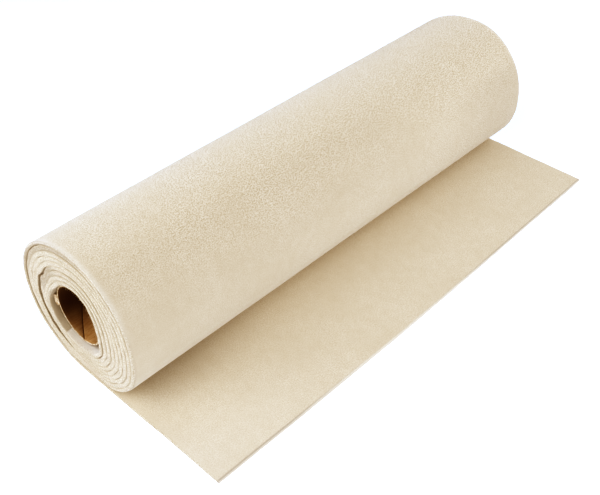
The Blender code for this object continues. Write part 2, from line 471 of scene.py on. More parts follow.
def cloth_centreline(share):
    """The cloth's middle surface for each station along it and each row across, as Y and Z, and its angle.

    The tail runs flat from its cut edge to the ground line. From there on the cloth follows the spiral.
    """
    along = share * CLOTH_WIDTH
    reach = read_smooth(CUT_EDGE, along, 1) + waves(along, 0 * along, CUT_LINE_WAVES)
    start = -math.degrees(math.atan2(WINDING_AXIS_Y, WINDING_AXIS_Z - FELT_THICK / 2))
    by_the_cut = np.array(FIRST_STATIONS) / CUT_EDGE[0][1]
    others = np.linspace(by_the_cut[-1], 1, TAIL_STATIONS - by_the_cut.size + 1, endpoint=False)[1:]
    toward_roll = np.concatenate([by_the_cut, others])[:, None]
    tail_y = -reach[None, :] * (1 - toward_roll)
    tail_z = np.full_like(tail_y, FELT_THICK / 2)
    angle = np.arange(start, CLOTH_ENDS_AT, DEGREES_PER_STATION)[:, None]
    radius = wound_radius(angle, share[None, :])
    wound_y = WINDING_AXIS_Y + radius * np.sin(np.radians(angle))
    wound_z = WINDING_AXIS_Z - radius * np.cos(np.radians(angle))
    middle = np.stack([np.concatenate([tail_y, wound_y]), np.concatenate([tail_z, wound_z])], axis=-1)
    return middle, np.concatenate([np.full(TAIL_STATIONS, start), angle[:, 0]])


def cloth_section():
    """The cloth's section across, a flat loop: out along the outer face, round the far edge, back along the
    inner face and round the near edge. Each edge is a squared-off half ellipse.

    Gives each point's share of the way across, how far round the near and the far edge it lies, and its
    share of half the thickness.
    """
    from_edge = np.array(ROWS_FROM_EDGE) / CLOTH_WIDTH
    across = np.concatenate([from_edge, 1 - from_edge[::-1]])
    round_edge = np.linspace(0, math.pi, EDGE_POINTS + 2)[1:-1]
    power = 2 / EDGE_SQUARENESS
    out = np.sin(round_edge) ** power
    side = np.sign(np.cos(round_edge)) * np.abs(np.cos(round_edge)) ** power
    face, edge = 0 * across, 0 * out
    share = np.concatenate([across, edge + 1, across[::-1], edge])
    near = np.concatenate([face, edge, face, out])
    far = np.concatenate([face, out, face, edge])
    return share, near, far, np.concatenate([face + 1, side, face - 1, -side])


def cloth_thickness(angle, travelled, share):
    """The thickness: the felt's own on the tail, and in the roll a little less than the spacing of its turns,
    kinked ones too. Both cut ends are rounded over, like the sides.
    """
    turn, bearing = np.maximum(np.floor(angle / 360), 0), np.mod(angle, 360)
    bent = kink(turn - 0.5, bearing) - kink(turn + 0.5, bearing)
    spacing = turn_spacing(bearing[:, None], share[None, :]) + bent[:, None]
    at = travelled[:, None]
    fullness = FULLNESS + waves(at, 0 * at, FULLNESS_WAVES)
    thick = FELT_THICK + (fullness * spacing - FELT_THICK) * ease(*FILLS_SPACING, angle)[:, None]
    for distance, rounded in ((travelled, CUT_END_ROUNDED), (travelled[-1] - travelled, INNER_END_ROUNDED)):
        inset = np.clip(1 - distance / rounded, 0, 1)
        thick *= ((1 - inset**EDGE_SQUARENESS) ** (1 / EDGE_SQUARENESS))[:, None]
    return thick


def cloth_along_roll(angle, travelled, share, near, far, lift):
    """Each point's distance along the roll: its share of the width, drawn in where the edges are rounded, less
    how far its turn has slid, with small waves on both sides.
    """
    rounded_at, outer_depth, inner_depth = np.array(ROUNDED).T
    rounded_out = np.interp(angle, rounded_at, outer_depth)[:, None]
    rounded_in = np.interp(angle, rounded_at, inner_depth)[:, None]
    depth = np.where(lift > 0, rounded_out, rounded_in)
    x = depth + share * (CLOTH_WIDTH - depth - FAR_ROUNDED) - near * depth + far * FAR_ROUNDED
    slid = slid_by(angle)
    slid[:TAIL_STATIONS] *= ease(*SLIDES, np.arange(TAIL_STATIONS) / TAIL_STATIONS)
    at = travelled[:, None]
    return x - slid[:, None] + waves(at, 0 * at, SIDE_WAVES) * np.where(share < 0.5, 1, -1)


def felt_cloth(surface):
    """The felt: one closed sheet from its cut edge to its inner end.

    Its section across is carried along the centreline, and each point lies off it by its share of half the
    thickness, with slow waves on the outer faces and on the rims of the wound turns.
    """
    share, near, far, lift = cloth_section()
    middle, angle = cloth_centreline(share)
    along = np.gradient(middle, axis=0)
    along /= np.linalg.norm(along, axis=-1, keepdims=True)
    outward = np.stack([along[..., 1], -along[..., 0]], axis=-1)
    travelled = np.concatenate([[0], np.cumsum(np.linalg.norm(np.diff(middle[:, 0], axis=0), axis=-1))])
    at = travelled[:, None]
    x = cloth_along_roll(angle, travelled, share, near, far, lift)
    swell = waves(at, x, FACE_WAVES) * (angle < FACE_WAVES_END)[:, None]
    at_rim = 1 - ease(0.0, RIM_SHARE, np.minimum(share, 1 - share))
    wander = waves(at, 0 * at, RIM_WAVES) * at_rim * ease(*RIM_WAVES_GROW, angle)[:, None]
    half = cloth_thickness(angle, travelled, share) / 2 * lift + swell + wander
    points = np.concatenate([x[..., None], middle + half[..., None] * outward], axis=-1)
    points[..., 2] = np.maximum(points[..., 2], 0)
    points += (SHIFT_X, SHIFT_Y, 0)

    stations, loop = points.shape[:2]
    faces = grid_faces(stations, loop, closed_columns=True)[:, ::-1].tolist()
    cut_end = np.arange(loop)
    inner_end = cut_end + (stations - 1) * loop
    faces += cap(cut_end) + cap(inner_end[::-1])
    piece = make_piece("felt_cloth", points, faces, surface)

    ring = np.stack([share * CLOTH_WIDTH + (far - near) * EDGE_UV_WIDTH, lift * FELT_THICK / 2])
    perimeter = np.concatenate([[0], np.cumsum(np.hypot(*np.diff(ring, axis=1)))])
    add_uv(piece, "cloth", np.repeat(travelled, loop), np.tile(perimeter, stations))
    on = SimpleNamespace(
        at=at, angle=angle[:, None], lift=lift, near=near, far=far, reach=-middle[..., 0],
        turn=np.maximum(np.floor(angle / 360), 0)[:, None], bearing=np.mod(angle, 360)[:, None],
        tail=np.arange(stations)[:, None] < TAIL_STATIONS,
        length=share * CLOTH_WIDTH, to_edge=np.minimum(share, 1 - share) * CLOTH_WIDTH,
    )
    add_value(piece, "light_between", light_reaching(on))
    add_value(piece, "fibre_ends_and_painted_light", paler_by_fibre_ends_and_painted_light(on))
    add_value(piece, "nap", fibres_standing(on))

    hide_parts("wound_felt", "loose_end")

    # The near edge, and which way it faces, for the fuzz that stands on it
    edge = slice(2 * ROWS_ACROSS + EDGE_POINTS, None)
    facing = np.concatenate([-near[:, None] * np.ones_like(outward[..., :1]), lift[:, None] * outward], axis=-1)
    return points[TAIL_STATIONS:, edge], facing[TAIL_STATIONS:, edge]


def cap(loop):
    """Closes a cut end: quads between the outer and inner faces, and a fan at each side's rounded edge.

    The inner end's loop comes turned round, so that its faces point outwards. Its quads then join points a
    few rows apart, which doesn't show: the end is rounded down to a line, and lies under the core.
    """
    outer, far, inner, near = np.split(loop, np.cumsum((ROWS_ACROSS, EDGE_POINTS, ROWS_ACROSS)))
    inner = inner[::-1]
    faces = np.stack([outer[:-1], inner[:-1], inner[1:], outer[1:]], axis=-1).tolist()
    faces.append([int(i) for i in (outer[-1], inner[-1], *far[::-1])])
    faces.append([int(i) for i in (outer[0], *near[::-1], inner[0])])
    return faces


def light_reaching(on):
    """How much light reaches the cloth: all on the open faces and cut edges, less where one turn covers the
    next, least where they part. The shades of the crescent, the cut edges, the sliver, the line under the
    loose end, the wedge and the roll's low side are taken off one after another.
    """
    gap_outside = gap_before(on.turn, on.bearing) - gap_before(on.turn - 1, on.bearing)
    gap_inside = gap_before(on.turn + 1, on.bearing) - gap_before(on.turn, on.bearing)
    gap = np.where(on.lift > 0, gap_outside, gap_inside)
    covered = np.where(on.lift > 0, ease(*OUTER_FACE_COVERED, on.angle), band(INNER_FACE_COVERED, on.angle))
    covered = covered * (1 - ease(*COVERED_OFF_THE_EDGE, on.near + on.far))
    parted = TOUCHING_LIGHT + (PARTED_LIGHT - TOUCHING_LIGHT) * np.clip(gap / OPEN_GAP, 0, 1)

    deepened = CRESCENT_FIRST + (1 - CRESCENT_FIRST) * ease(*CRESCENT_DEEPENS, on.angle)
    crescent = np.where(on.lift > 0, 0, band(CRESCENT, on.angle) * deepened)
    crescent = crescent * (CRESCENT_AT_EDGE + (1 - CRESCENT_AT_EDGE) * ease(*CRESCENT_REACHES_IN, on.to_edge))

    # painted shade on the cut edges high on the outer turns and by the pocket
    tan = band(TAN_BEARINGS, on.bearing) * (on.angle < TAN_ENDS)
    tan = tan * np.where((on.angle < OUTERMOST_ENDS) & (on.lift > OUTER_SIDE), OUTERMOST_TAN, 1)
    by_pocket = band(POCKET_BEARINGS, on.bearing) * np.isin(on.turn, POCKET_TURNS)
    cut = (TAN_SHADE * tan + POCKET_SHADE * by_pocket) * ease(*CUT_FACE, on.near)

    # painted shade under the loose end's cut edge
    under = (1 - ease(*UNDER_SIDE, on.lift)) * band(UNDER_LINE, on.at) * on.tail
    under = under * (1 - band(LIES_CLOSE, on.length))
    wedge = (1 - ease(*WEDGE_REACH, on.reach)) * band(WEDGE_LENGTH, on.length) * on.tail * (on.lift < 0)
    # painted shade on the roll's low side and middle band
    low = LOW_SHADE * ease(*LOW_ANGLES, on.angle) * (1 - LOW_FADED * ease(*LOW_FADES, on.length))
    low = low + LOW_FAR_SHADE * ease(*LOW_FAR_ANGLES, on.angle) * ease(*LOW_FAR_LENGTH, on.length)
    low = low + BAND_SHADE * band(BAND_ANGLES, on.angle) * (1 - ease(*BAND_FADES, on.length))
    low = low * (1 - ease(*SHADE_ENDS, on.angle)) * (on.lift > 0)
    # painted shade of the sliver next to the core's rim
    sliver = band(SLIVER_ANGLES, on.angle) * ease(*SLIVER_DEPTH, on.to_edge) * (on.lift < 0)

    light = 1 - (1 - parted) * covered
    for shade in (
        CRESCENT_SHADE * crescent, cut, SLIVER_SHADE * sliver, UNDER_SHADE * under, WEDGE_SHADE * wedge, low
    ):
        light = light * (1 - shade)
    return light


def paler_by_fibre_ends_and_painted_light(on):
    """How much paler the cloth is: a painted highlight on the rim, painted light on the lip and the near corner,
    and loose fibre ends on the cut end.
    """
    # painted highlight along the outer rim, fading out toward the roll's low side
    rim = np.where(on.lift > 0, 1 - ease(*RIM_WIDTH, on.to_edge), 0) * (1 - ease(*RIM_FADES, on.angle))
    # painted light on the inner end's lip, which lies in shade under the core
    lip = np.where(on.lift < 0, 1 - (1 - LIP_AT_EDGE) * on.near, 0) * (on.to_edge < LIP_WIDTH)
    cut_end = (1 - ease(*CUT_WIDTH, on.at)) * on.tail
    # painted light on the loose end's near corner
    corner_light = (1 - ease(*CORNER_LIGHT_LENGTH, on.length)) * ease(*CORNER_LIGHT_REACH, on.reach) * on.tail * (on.lift < 0)
    return (
        RIM_PAINTED_HIGHLIGHT * rim + lip * ease(*LIP_ANGLES, on.angle)
        + CUT_TEASED * cut_end + CORNER_PAINTED_LIGHT * corner_light * (1 - cut_end)
    )


def fibres_standing(on):
    """How far the fibres stand up: most on the crown and toward the far end, less where it was pressed flat,
    least on the reverse, and the same on all cut edges.
    """
    nap = np.where(on.lift > 0, FACE_NAP - (FACE_NAP - PRESSED_NAP) * ease(*PRESSED, on.angle), REVERSE_NAP)
    by_length = NAP_AT_NEAR_END + NAP_GAINED_NEAR * ease(*NEAR_HALF, on.length)
    by_length = by_length + NAP_GAINED_FAR * ease(*FAR_HALF, on.length)
    on_tail = TAIL_NAP + TAIL_NAP_GAINED * ease(*FAR_HALF, on.length)
    nap = nap * np.where(on.tail & (on.lift < 0), on_tail, by_length)
    nap = nap * (NAP_AT_RIM + (1 - NAP_AT_RIM) * ease(*NAP_RIM_WIDTH, on.to_edge))
    return nap + (CUT_NAP - nap) * ease(*CUT_FACE, on.near + on.far)


# The fuzz on the near cut edges. Real fibres are 0.02 mm thick, so these are four times as thick and far fewer
STRANDS = 7000
STRAND_LENGTH, STRAND_THICK = (0.0006, 0.0022), 0.00008
STRAND_ALONG, STRAND_TAPER = (0.0, 0.35, 0.7, 1.0), (1.0, 0.9, 0.7, 0.15)
STRAND_SCATTER, STRAND_BEND, STRAND_ROOTED = 0.75, 0.45, 0.0002
STRAND_TEASED = 0.3


def edge_fuzz(surface, edge, facing):
    """Loose fibre ends standing on the near cut edge of every turn, each a thin bent tapering strand.

    A strand starts at a random place on the edge. It runs along a straight direction, scattered about the
    way the edge faces, plus a sideways bend that grows with the square of the distance along it. It is a
    three-sided tube of four rings.
    """
    random = np.random.default_rng(71)
    rows, columns = edge.shape[:2]
    row, column = random.uniform(0, rows - 1.001, STRANDS), random.uniform(0, columns - 1.001, STRANDS)
    r, c = row.astype(int), column.astype(int)
    past_row, past_column = (row - r)[:, None], (column - c)[:, None]
    here = edge[r, c] * (1 - past_column) + edge[r, c + 1] * past_column
    beyond = edge[r + 1, c] * (1 - past_column) + edge[r + 1, c + 1] * past_column
    root = here * (1 - past_row) + beyond * past_row
    toward = facing[r, c] / np.linalg.norm(facing[r, c], axis=-1, keepdims=True)
    toward = toward + random.normal(0, STRAND_SCATTER, (STRANDS, 3))
    toward /= np.linalg.norm(toward, axis=-1, keepdims=True)
    side = np.cross(toward, random.normal(0, 1, (STRANDS, 3)))
    side /= np.linalg.norm(side, axis=-1, keepdims=True)
    third = np.cross(toward, side)
    length = random.uniform(*STRAND_LENGTH, STRANDS)[:, None, None]
    t = np.array(STRAND_ALONG)[None, :, None]
    spine = length * (t * toward[:, None] + STRAND_BEND * t**2 * side[:, None])
    spine = root[:, None] - STRAND_ROOTED * toward[:, None] + spine
    around = np.radians([0, 120, 240])[None, :, None]
    ring = side[:, None] * np.cos(around) + third[:, None] * np.sin(around)
    taper = STRAND_THICK / 2 * np.array(STRAND_TAPER)[None, :, None, None]
    points = spine[:, :, None] + taper * ring[:, None]
    points[..., 2] = np.maximum(points[..., 2], 0)

    strand = np.arange(STRANDS)[:, None, None] * 12
    ring_start, corner = 3 * (np.arange(9) // 3), np.arange(9) % 3
    after = (corner + 1) % 3
    tube = np.stack([corner, after, 3 + after, 3 + corner], axis=-1) + ring_start[:, None]
    ends = np.array([(2, 1, 0), (9, 10, 11)])
    faces = (tube + strand).reshape(-1, 4).tolist() + (ends + strand).reshape(-1, 3).tolist()
    piece = make_piece("edge_fuzz", points, faces, surface)
    count = points.size // 3
    add_uv(piece, "cloth", np.zeros(count), np.zeros(count))
    for name, value in (("light_between", 1.0), ("nap", 0.0), ("fibre_ends_and_painted_light", STRAND_TEASED)):
        add_value(piece, name, np.full(count, value))


# Materials

def linear(hex_colour):
    """An sRGB hex colour as a linear RGBA tuple."""
    parts = [int(hex_colour[i : i + 2], 16) / 255 for i in (0, 2, 4)]
    return (*[p / 12.92 if p <= 0.04045 else ((p + 0.055) / 1.055) ** 2.4 for p in parts], 1.0)


def add(tree, kind, settings=None, **links):
    """Adds a node, with its settings, and its inputs set to values or linked from other nodes' outputs.

    An input is named, or numbered as i0, i1 and so on.
    """
    node = tree.nodes.new(kind)
    for key, value in (settings or {}).items():
        setattr(node, key, value)
    for key, value in links.items():
        numbered = key[0] == "i" and key[1:].isdigit()
        socket = node.inputs[int(key[1:]) if numbered else key]
        if isinstance(value, bpy.types.NodeSocket):
            tree.links.new(value, socket)
        else:
            socket.default_value = value
    return node


def start_material(name, sockets):
    """A new material, its nodes and its shader, with the values given on the shader's own sockets."""
    made = bpy.data.materials.new(name)
    made.use_nodes = True
    shader = made.node_tree.nodes["Principled BSDF"]
    for socket, value in sockets.items():
        shader.inputs[socket].default_value = value
    return made, made.node_tree, shader


# The felt's pattern, in metres. Real fibres are 0.02 mm thick, too fine to show, so they are drawn 0.7 mm wide
# and 3 mm long, lying in three directions, and the needles' pits 0.85 mm wide
CLOUD_SIZE, TUFT_SIZE, PIT_SIZE = 0.045, 0.008, 0.00085
FIBRE_WIDTH, FIBRE_SHARE, FIBRE_TURNS = 0.00070, 0.22, (0.35, 1.45, 2.40)
FELT_DEEP, FELT_PALE, FIBRE_ENDS_AND_PAINTED_LIGHT, FELT_SHADE = "CEC1A7", "F8F0E1", "FBF5EA", "463110"

# How much of its height fibres, pits and tufts make, and what brings fibres and pits to 0 at the mean; where the
# highest are cut off; and how uneven they stand, by the clouds' range
FIBRE_HEIGHT, FIBRE_MEAN, PIT_HEIGHT, PIT_MEAN, TUFT_HEIGHT, FLECK_TOP = 1.2, -0.465, 2.2, 1.10, 0.6, 0.31
CLOUD_RANGE, PATCHY = (0.35, 0.65), (0.75, 1.25)
FELT_BUMP, FELT_BUMP_HEIGHT = 0.5, 0.0004

# How far clouds and tufts move the tone, and the level that each adds
CLOUD_TONE, CLOUD_LEVEL, TUFT_TONE, TUFT_LEVEL = 0.20, 0.40, 0.22, -0.11


def needled_felt():
    """Needled craft felt: wool and rayon fibres carded into a web and punched together by barbed needles.

    The eye sees a matt mat of short fibres lying every way, with pale fibre ends and small tan pits where the
    needles went in, cloudy where the web was thicker or thinner, and a pale fuzz at grazing angles. Painted
    highlights, painted light and painted shade are mixed into its colour from the cloth's attributes.
    """
    made, tree, shader = start_material("needled_felt", {
        "Roughness": 0.95, "Specular IOR Level": 0.2, "Sheen Weight": 0.35, "Sheen Roughness": 0.5,
        "Diffuse Roughness": 1.0,
    })
    cloth = add(tree, "ShaderNodeUVMap", {"uv_map": "cloth"}).outputs["UV"]
    clouds = add(tree, "ShaderNodeTexNoise", Vector=cloth, Scale=1 / CLOUD_SIZE, Detail=2.0).outputs["Fac"]
    tufts = add(tree, "ShaderNodeTexNoise", Vector=cloth, Scale=1 / TUFT_SIZE, Detail=2.0).outputs["Fac"]
    pits = add(tree, "ShaderNodeTexNoise", Vector=cloth, Scale=1 / PIT_SIZE, Detail=0.0).outputs["Fac"]
    raised, fibre_ends_and_painted_light, between = (
        add(tree, "ShaderNodeAttribute", {"attribute_name": name}).outputs["Fac"]
        for name in ("nap", "fibre_ends_and_painted_light", "light_between")
    )
    fibres = None
    for turned in FIBRE_TURNS:
        laid = add(tree, "ShaderNodeMapping", Vector=cloth, Rotation=(0, 0, turned), Scale=(1, FIBRE_SHARE, 1))
        streak = add(tree, "ShaderNodeTexNoise", Vector=laid.outputs[0], Scale=1 / FIBRE_WIDTH, Detail=0.0)
        streak = streak.outputs["Fac"]
        if fibres is not None:
            streak = add(tree, "ShaderNodeMath", {"operation": "MINIMUM"}, i0=fibres, i1=streak).outputs[0]
        fibres = streak

    # Height: fibres over pits, about 0 at the mean; then how far they stand up, uneven over the cloth. The
    # highest are cut off level, which leaves the dark pits to stand out
    scaled = {"operation": "MULTIPLY_ADD"}
    lifted = add(tree, "ShaderNodeMath", scaled, i0=fibres, i1=FIBRE_HEIGHT, i2=FIBRE_MEAN).outputs[0]
    sunk = add(tree, "ShaderNodeMath", scaled, i0=pits, i1=PIT_HEIGHT, i2=lifted).outputs[0]
    grain = add(tree, "ShaderNodeMath", {"operation": "SUBTRACT"}, i0=sunk, i1=PIT_MEAN).outputs[0]
    ends = dict(zip(("i1", "i2", "i3", "i4"), CLOUD_RANGE + PATCHY))
    patchy = add(tree, "ShaderNodeMapRange", Value=clouds, **ends).outputs[0]
    strength = add(tree, "ShaderNodeMath", {"operation": "MULTIPLY"}, i0=patchy, i1=raised).outputs[0]
    stood = add(tree, "ShaderNodeMath", {"operation": "MULTIPLY"}, i0=grain, i1=strength).outputs[0]
    flecks = add(tree, "ShaderNodeMath", {"operation": "MINIMUM"}, i0=stood, i1=FLECK_TOP).outputs[0]

    # Colour: flecks about a mid tone, with slow clouds and tufts under them, paler at fibre ends and where light
    # is painted, then darkened by painted shade
    slow = add(tree, "ShaderNodeMath", scaled, i0=clouds, i1=CLOUD_TONE, i2=CLOUD_LEVEL).outputs[0]
    tufted = add(tree, "ShaderNodeMath", scaled, i0=tufts, i1=TUFT_TONE, i2=TUFT_LEVEL).outputs[0]
    base = add(tree, "ShaderNodeMath", {"operation": "ADD"}, i0=slow, i1=tufted).outputs[0]
    tone = add(tree, "ShaderNodeMath", {"operation": "ADD", "use_clamp": True}, i0=flecks, i1=base).outputs[0]
    # the pale colour serves both fibre ends and painted light; the dark one is painted shade
    deep, pale, ends, shade = (linear(colour) for colour in (FELT_DEEP, FELT_PALE, FIBRE_ENDS_AND_PAINTED_LIGHT, FELT_SHADE))
    colour = add(tree, "ShaderNodeMix", {"data_type": "RGBA"}, i0=tone, i6=deep, i7=pale).outputs[2]
    colour = add(tree, "ShaderNodeMix", {"data_type": "RGBA"}, i0=fibre_ends_and_painted_light, i6=colour, i7=ends).outputs[2]
    colour = add(tree, "ShaderNodeMix", {"data_type": "RGBA"}, i0=between, i6=shade, i7=colour).outputs[2]
    tree.links.new(colour, shader.inputs["Base Color"])

    relief = add(tree, "ShaderNodeMath", scaled, i0=tufts, i1=TUFT_HEIGHT, i2=flecks).outputs[0]
    bump = add(tree, "ShaderNodeBump", Height=relief, Strength=FELT_BUMP, Distance=FELT_BUMP_HEIGHT)
    tree.links.new(bump.outputs[0], shader.inputs["Normal"])
    return made


# The board's pattern, in metres. Real pulp fibres are 0.03 mm thick and 3 mm long, so they are drawn much
# coarser, 1.1 mm wide and 6 mm long, so that they show
BOARD_FIBRE_WIDTH, BOARD_FIBRE_SHARE, STAIN_SIZE, RAGGED_SIZE = 0.0011, 0.18, 0.014, 0.0022
KRAFT_DEEP, KRAFT_PALE, PLY_DEEP, PLY_PALE, BOARD_SHADE = "B28051", "EAC296", "B9A284", "EADFCB", "210602"

# How far stains move the tone, the ranges of tone and raggedness that the colours span, how the seam's open line
# darkens with the distance from it, and the relief
STAIN_TONE, KRAFT_RANGE, RAGGED_RANGE = 0.6, (0.50, 1.10), (0.35, 0.65)
SEAM_DARK_TO, SEAM_CLEAR_FROM, SEAM_LIGHT = 0.0004, 0.0010, 0.10
BOARD_BUMP, BOARD_BUMP_HEIGHT = 0.5, 0.0003


def kraft_board():
    """Kraft board, unbleached wood pulp wound on a mandrel in spiral plies and glued.

    The eye sees a dull brown paper with long fibres and a dark seam, and a paler, ragged cut rim.
    """
    made, tree, shader = start_material("kraft_board", {"Roughness": 0.8, "Specular IOR Level": 0.25})
    place = add(tree, "ShaderNodeTexCoord").outputs["Object"]
    laid = add(
        tree, "ShaderNodeMapping", Vector=place, Rotation=(0.3, 0.2, 0.5), Scale=(BOARD_FIBRE_SHARE, 1, 1)
    ).outputs[0]
    fibres = add(
        tree, "ShaderNodeTexNoise", Vector=laid, Scale=1 / BOARD_FIBRE_WIDTH, Detail=3.0, Roughness=0.6
    ).outputs["Fac"]
    stains = add(tree, "ShaderNodeTexNoise", Vector=place, Scale=1 / STAIN_SIZE, Detail=2.0).outputs["Fac"]
    ragged = add(tree, "ShaderNodeTexNoise", Vector=place, Scale=1 / RAGGED_SIZE, Detail=1.0).outputs["Fac"]
    cut, seam, between = (
        add(tree, "ShaderNodeAttribute", {"attribute_name": name}).outputs["Fac"]
        for name in ("cut_board", "from_seam", "light_between")
    )
    tone = add(
        tree, "ShaderNodeMath", {"operation": "MULTIPLY_ADD"}, i0=stains, i1=STAIN_TONE, i2=fibres
    ).outputs[0]
    spread, uneven, open_board = (
        add(tree, "ShaderNodeMapRange", Value=value, i1=low, i2=high, i3=least, i4=1.0).outputs[0]
        for value, low, high, least in (
            (tone, *KRAFT_RANGE, 0.0),
            (ragged, *RAGGED_RANGE, 0.0),
            (seam, SEAM_DARK_TO, SEAM_CLEAR_FROM, SEAM_LIGHT),
        )
    )
    lit = add(tree, "ShaderNodeMath", {"operation": "MULTIPLY"}, i0=open_board, i1=between).outputs[0]
    paper, plies = (
        add(tree, "ShaderNodeMix", {"data_type": "RGBA"}, i0=share, i6=linear(deep), i7=linear(pale)).outputs[2]
        for share, deep, pale in ((spread, KRAFT_DEEP, KRAFT_PALE), (uneven, PLY_DEEP, PLY_PALE))
    )
    board = add(tree, "ShaderNodeMix", {"data_type": "RGBA"}, i0=cut, i6=paper, i7=plies).outputs[2]
    shaded = add(tree, "ShaderNodeMix", {"data_type": "RGBA"}, i0=lit, i6=linear(BOARD_SHADE), i7=board)
    tree.links.new(shaded.outputs[2], shader.inputs["Base Color"])
    bump = add(tree, "ShaderNodeBump", Height=tone, Strength=BOARD_BUMP, Distance=BOARD_BUMP_HEIGHT)
    tree.links.new(bump.outputs[0], shader.inputs["Normal"])
    return made


# The core

ROW_SPACING = 0.0025
WALL_POINTS = 4
CUT_CORNER = 0.0002
RIM_RIPPLE, RIM_RIPPLE_RADIUS = (0.00012, 0.006, 41), 0.03
TUBE_RIPPLE, TUBE_RIPPLE_RADIUS = (0.00015, 0.05, 42), 0.02

# The seam: its bearing at the near end, how fast it winds, its groove, and the columns of points beside it, in
# half widths, with those of the rest of the bore spread evenly
SEAM_AT = 357.0
SEAM_DEGREES_PER_METRE = 3900.0
SEAM_HALF_WIDTH = 0.00050
SEAM_DEPTH = 0.0004
SEAM_COLUMNS = (0, 1, 2, 4)
FIRST_BORE_COLUMN, BORE_COLUMNS = 7.2, 56

# Light in the bore by bearing, what the raised lip beside the seam takes off it and how far it reaches, and
# light on the cut rim by distance from the bore
SHADE_BY_BEARING = (
    (0, 1.05), (10, 0.80), (20, 0.66), (30, 0.47), (45, 0.21), (57, 0.08), (72, 0.02), (90, 0.02), (120, 0.05),
    (180, 0.2), (290, 0.4), (335, 0.9),
)
LIP_SHADE, LIP_REACH = 0.6, 0.007
SHADE_ACROSS_RIM = ((0.0, 0.8), (0.0004, 1.0), (CORE_WALL - 0.0006, 1.0), (CORE_WALL, 0.25))

# The torn ply: its bearings, size and points, how its outline rises and falls, and how it stands off
TORN_FROM, TORN_TO = 77.0, 101.0
TORN_REACH = 0.0046
TORN_THICK = 0.00025
TORN_POINTS = (17, 7)
TORN_SHARPNESS, TORN_MEAN, TORN_WAVES = 0.6, 0.80, ((0.14, 9.5, 0.6), (0.06, 23.0, 0.0))
TORN_STARTS, TORN_OFF, TORN_BENT, TORN_CRINKLE = 0.6, 0.0001, 0.0006, 0.0002
TORN_CUT = 0.85


def seam_bearing(x):
    """The bearing about the core's axis of the spiral seam, at a distance from the cloth's near end."""
    return SEAM_AT + SEAM_DEGREES_PER_METRE * (x - CORE_NEAR_END)


def core_tube(surface):
    """The cardboard tube, wound from a strip of board whose butted edges leave one spiral seam in the bore.

    The wall's profile, a thin box with its corners taken off, is carried round the axis. Each ring is turned
    by the seam's bearing at its place, so one column of points follows the seam and is pushed into the wall.
    """
    inner, outer, corner = CORE_BORE / 2, CORE_BORE / 2 + CORE_WALL, CUT_CORNER
    rows = int(CORE_LENGTH / ROW_SPACING)
    length = np.linspace(corner, CORE_LENGTH - corner, rows)
    wall = np.linspace(outer - corner, inner + corner, WALL_POINTS)
    along = np.concatenate([length, 0 * wall + CORE_LENGTH, length[::-1], 0 * wall])
    radius = np.concatenate([0 * length + outer, wall, 0 * length + inner, wall[::-1]])
    is_bore = np.repeat((0, 0, 1, 0), (rows, WALL_POINTS, rows, WALL_POINTS))
    is_cut = np.repeat((0, 1, 0, 1), (rows, WALL_POINTS, rows, WALL_POINTS))

    girth = 2 * math.pi * inner
    close = np.array(SEAM_COLUMNS) * SEAM_HALF_WIDTH
    start = FIRST_BORE_COLUMN * SEAM_HALF_WIDTH
    arc = np.concatenate([close, np.linspace(start, girth - start, BORE_COLUMNS), girth - close[:0:-1]])
    from_seam = np.minimum(arc, girth - arc)
    x = np.broadcast_to(CORE_NEAR_END + along, (arc.size, along.size))
    bearing = seam_bearing(x) + np.degrees(arc / inner)[:, None]
    groove = SEAM_DEPTH * np.exp(-((from_seam / SEAM_HALF_WIDTH) ** 2))[:, None] * is_bore
    sine, cosine = np.sin(np.radians(bearing)), np.cos(np.radians(bearing))
    ragged = waves(RIM_RIPPLE_RADIUS * sine, RIM_RIPPLE_RADIUS * cosine, (RIM_RIPPLE,))
    r = radius + groove + waves(TUBE_RIPPLE_RADIUS * sine, x, (TUBE_RIPPLE,))
    near_rim = is_cut * (along < CORE_LENGTH / 2)
    points = np.stack([x + ragged * near_rim, CORE_AXIS_Y + r * sine, CORE_AXIS_Z - r * cosine], axis=-1)
    points += (SHIFT_X, SHIFT_Y, 0)
    faces = grid_faces(arc.size, along.size, closed_rows=True, closed_columns=True).tolist()
    piece = make_piece("core_tube", points, faces, surface)
    seam = np.broadcast_to(from_seam[:, None], x.shape)
    add_value(piece, "from_seam", np.where(is_bore > 0, seam, 1.0))
    add_value(piece, "cut_board", np.broadcast_to(is_cut, x.shape))
    beside = np.where(arc < girth / 2, np.exp(-arc / LIP_REACH), 0)[:, None]
    shade = read_round(SHADE_BY_BEARING, bearing, 1) * (1 - LIP_SHADE * beside)
    rim = np.interp(radius - inner, *np.array(SHADE_ACROSS_RIM).T)
    add_value(piece, "light_between", np.where(is_bore > 0, shade, rim))
    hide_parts("core")


